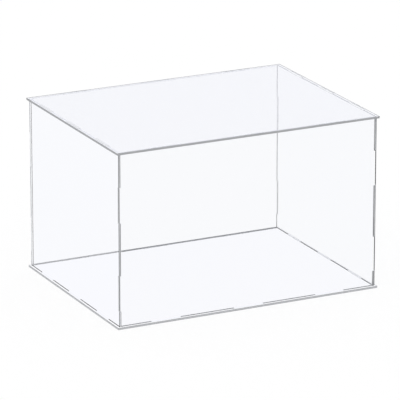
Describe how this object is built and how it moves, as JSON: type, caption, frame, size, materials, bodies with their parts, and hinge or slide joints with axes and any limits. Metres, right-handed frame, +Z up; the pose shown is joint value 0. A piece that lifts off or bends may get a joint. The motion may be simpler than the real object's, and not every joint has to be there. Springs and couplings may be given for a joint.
{
  "type": "acrylic storage box with lid",
  "caption": "Clear acrylic box of flat slotted sheets, with tabbed walls, finger-jointed corners and an overhanging lid that lifts off, for storing or showing things free of dust.",
  "frame": {"origin": "centre of the base's underside, on the surface that the box stands on", "axes": "+X along the wide front wall to the right, +Y from the front wall to the back wall, +Z up"},
  "size_m": [0.4, 0.3, 0.25],
  "materials": {
    "clear_acrylic": "polished"
  },
  "bodies": {
    "box": {"base_panel": "clear_acrylic", "front_panel": "clear_acrylic", "back_panel": "clear_acrylic", "left_panel": "clear_acrylic", "right_panel": "clear_acrylic"},
    "lid": {"lid_panel": "clear_acrylic"}
  },
  "joints": [
    {"name": "lid_lift", "type": "slide", "parent": "box", "child": "lid", "axis": [0, 0, 1], "range_m": [0, 0.26]}
  ]
}
